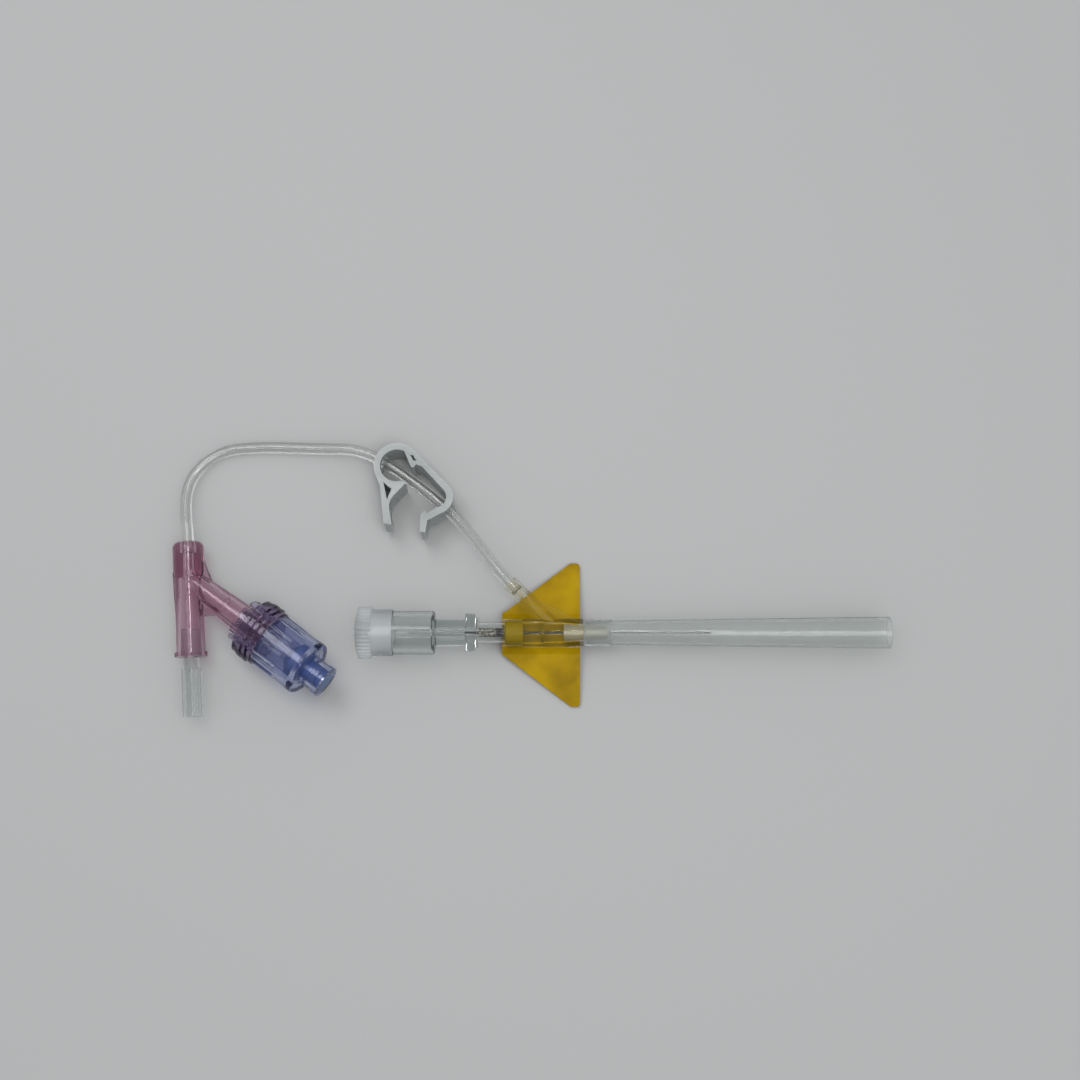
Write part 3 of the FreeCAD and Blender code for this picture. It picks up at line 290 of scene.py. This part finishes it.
def dress_solid_pieces():
    """The opaque and milky pieces, the catheter and the steel."""
    filter_white = moulded("filter_white", (0.78, 0.79, 0.79), (0.86, 0.87, 0.87), (0.7, 0.9), 2200,
                           0.02 * MM)
    septum = moulded("septum_olive", (0.3, 0.21, 0.0), (0.37, 0.26, 0.0), (0.4, 0.5), shine=0.1)
    seal = moulded("seal_olive", (0.16, 0.115, 0.0), (0.22, 0.16, 0.0), (0.4, 0.5), shine=0.1)
    nose = moulded("nose_white", (0.37, 0.355, 0.27), (0.46, 0.44, 0.34), (0.25, 0.4), clear=0.1)
    catheter = clear_plastic("catheter_soft", (0.94, 0.94, 0.92), rough=(0.05, 0.07), haze_or_painted_glow=0.06,
                             haze_or_glow_colour=(0.6, 0.6, 0.58), wave=0.0, bend=1.28)
    # The wings' wide dark-to-light drift is partly the yellow's own uneven tone and partly painted fold
    # shade
    wings = moulded("wing_yellow", (0.25, 0.15, 0.0), (0.43, 0.27, 0.0), (0.36, 0.5), shine=0.08)
    clamp = moulded("clamp_pale", (0.31, 0.335, 0.335), (0.39, 0.41, 0.405), (0.25, 0.4), soft=2.5 * MM)
    piston = moulded("piston_blue", (0.07, 0.11, 0.25), (0.1, 0.17, 0.36), (0.3, 0.45))
    dress("flash_filter", filter_white)
    dress("septum", septum)
    dress("seal_disc", seal)
    dress("nose_sleeve", nose)
    dress("catheter_tube", catheter)
    dress("wings", wings)
    dress("pinch_clamp", clamp)
    dress("valve_piston", piston)
    # Painted shade: the needle's steel is darkened to near black so the bar inside the hub stays dark
    dress("needle", steel("needle_steel", (0.02, 0.02, 0.02), (0.04, 0.04, 0.04), rough=(0.4, 0.5)))
    dress("safety_clip", steel("clip_steel", (0.01, 0.01, 0.008), (0.1, 0.097, 0.08), 2400, 0.12 * MM))


def make_line():
    """The free line as one smooth clear tube with its bore."""
    curve = bpy.data.curves.new("extension_line", "CURVE")
    curve.dimensions = "3D"
    curve.bevel_depth = LINE_DIAMETER / 2
    curve.bevel_resolution = LINE_ROUND_STEPS
    curve.resolution_u = LINE_LONG_STEPS
    curve.use_fill_caps = True
    spline = curve.splines.new("NURBS")
    spline.points.add(len(LINE_ROUTE_MM) - 1)
    for point, spot in zip(spline.points, LINE_ROUTE_MM):
        point.co = (*(Vector(spot) * MM), 1)
    spline.order_u = 3
    spline.use_endpoint_u = True
    piece = bpy.data.objects.new("extension_line", curve)
    bore = piece.modifiers.new("bore", "SOLIDIFY")
    bore.thickness = LINE_WALL
    bore.offset = -1
    line_plastic = clear_plastic("line_clear", (0.89, 0.9, 0.9), rough=(0.07, 0.09), haze_or_painted_glow=0.07,
                                 haze_or_glow_colour=(0.5, 0.49, 0.45), bend=1.47, wave=0.0)
    bpy.context.scene.collection.objects.link(piece)
    piece.data.materials.append(line_plastic)
    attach(piece, "cannula")
    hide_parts("extension_tube")


def make_floor():
    """A plain pale floor, far wider than the set."""
    mesh = bpy.data.meshes.new("floor")
    corners = [
        (-FLOOR_HALF, -FLOOR_HALF, 0),
        (FLOOR_HALF, -FLOOR_HALF, 0),
        (FLOOR_HALF, FLOOR_HALF, 0),
        (-FLOOR_HALF, FLOOR_HALF, 0),
    ]
    mesh.from_pydata(corners, [], [(0, 1, 2, 3)])
    floor = bpy.data.objects.new("floor", mesh)
    floor.location.z = -FLOOR_DROP
    bpy.context.scene.collection.objects.link(floor)
    mat, tree, out = material("floor_pale")
    shader = tree.nodes.new("ShaderNodeBsdfPrincipled")
    shader.inputs["Base Color"].default_value = (*FLOOR_COLOUR, 1)
    shader.inputs["Roughness"].default_value = FLOOR_ROUGHNESS
    link(tree, shader.outputs["BSDF"], out.inputs["Surface"])
    mesh.materials.append(mat)


def make_lamp(name, place, size, power):
    """A soft square lamp aimed at the middle of the set."""
    data = bpy.data.lights.new(name, "AREA")
    data.shape = "SQUARE"
    data.size = size
    data.energy = power
    lamp = bpy.data.objects.new(name, data)
    lamp.location = place
    lamp.rotation_euler = (VIEW_TARGET - Vector(place)).to_track_quat("-Z", "Y").to_euler()
    bpy.context.scene.collection.objects.link(lamp)


def make_light():
    """Three soft lamps and a room that is paler overhead than at its sides."""
    for name, place, size, power in LAMPS:
        make_lamp(name, place, size, power)
    world = bpy.data.worlds.new("pale_room")
    bpy.context.scene.world = world
    world.use_nodes = True
    tree = world.node_tree
    direction = tree.nodes.new("ShaderNodeTexCoord")
    parts = tree.nodes.new("ShaderNodeSeparateXYZ")
    ramp = tree.nodes.new("ShaderNodeValToRGB")
    for element, (height, colour) in zip(ramp.color_ramp.elements, SKY_STOPS):
        element.position = height
        element.color = (*colour, 1)
    link(tree, direction.outputs["Generated"], parts.inputs["Vector"])
    link(tree, parts.outputs["Z"], ramp.inputs["Fac"])
    link(tree, ramp.outputs["Color"], tree.nodes["Background"].inputs["Color"])


def make_camera():
    """A camera at the photograph's angle and scale."""
    data = bpy.data.cameras.new("camera")
    data.sensor_fit = "HORIZONTAL"
    data.angle = 2 * math.atan(HALF_FRAME_PIXELS / (PIXELS_PER_MM * VIEW_DISTANCE / MM))
    data.clip_start = NEAREST_SEEN
    camera = bpy.data.objects.new("camera", data)
    back = Vector((0, -math.cos(VIEW_ELEVATION), math.sin(VIEW_ELEVATION)))
    camera.location = VIEW_TARGET + back * VIEW_DISTANCE
    camera.rotation_euler = (math.pi / 2 - VIEW_ELEVATION, 0, 0)
    bpy.context.scene.collection.objects.link(camera)
    bpy.context.scene.camera = camera


bpy.context.scene.view_settings.view_transform = "Standard"
bpy.context.scene.cycles.caustics_refractive = False
bpy.context.scene.cycles.caustics_reflective = False
make_camera()
make_line()
dress_clear_pieces()
dress_tinted_pieces()
dress_solid_pieces()
make_floor()
make_light()
